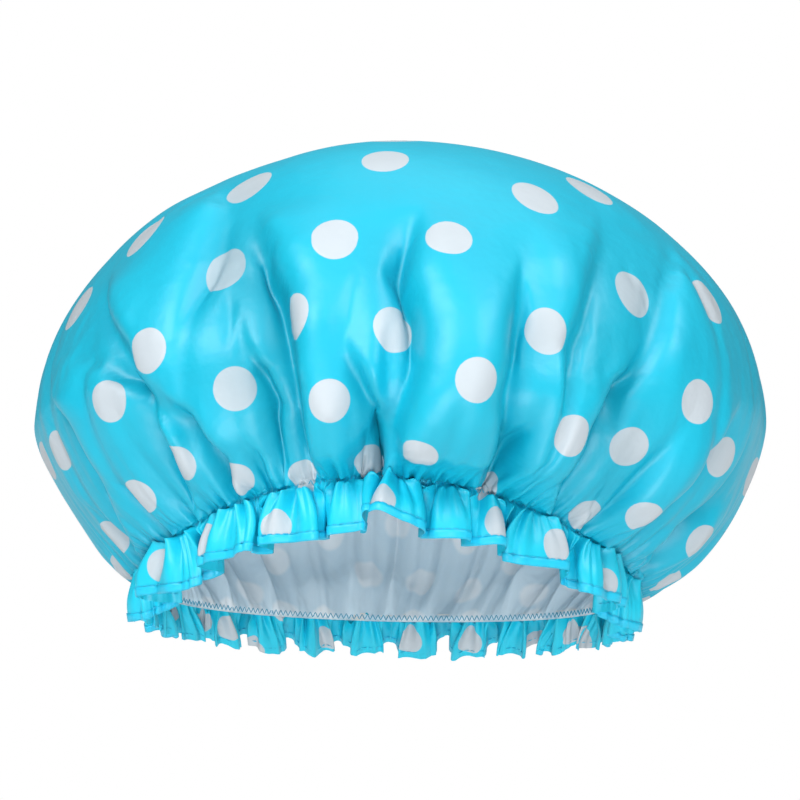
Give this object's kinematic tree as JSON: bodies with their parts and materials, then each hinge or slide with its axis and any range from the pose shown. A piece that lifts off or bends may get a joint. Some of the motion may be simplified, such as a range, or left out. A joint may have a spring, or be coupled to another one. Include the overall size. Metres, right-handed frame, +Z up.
{
  "type": "shower cap",
  "caption": "Puffed satin shower cap with a waterproof lining, an elastic gathered opening and a hemmed ruffle below it.",
  "frame": {"origin": "centre of the elastic opening, at the mean height of the gathering line", "axes": "+X to the right seen from the front, -Y to the front, +Z up, with the cap as worn: the opening is raised at the front by 18.2 degrees and at -X by 1.3"},
  "size_m": [0.2657, 0.2444, 0.1908],
  "materials": {
    "satin": "glossy printed satin with white dots",
    "film": "translucent waterproof film, soft gloss",
    "elastic": "braided flat elastic",
    "thread": "polyester sewing thread"
  },
  "bodies": {
    "cap": {"satin_crown": "satin", "satin_ruffle": "satin", "hem_band": "satin", "waterproof_lining": "film", "elastic_band": "elastic", "elastic_tack": "thread", "gather_needle_thread": "thread", "gather_bobbin_thread": "thread", "hem_needle_thread": "thread", "hem_bobbin_thread": "thread"}
  },
  "joints": []
}
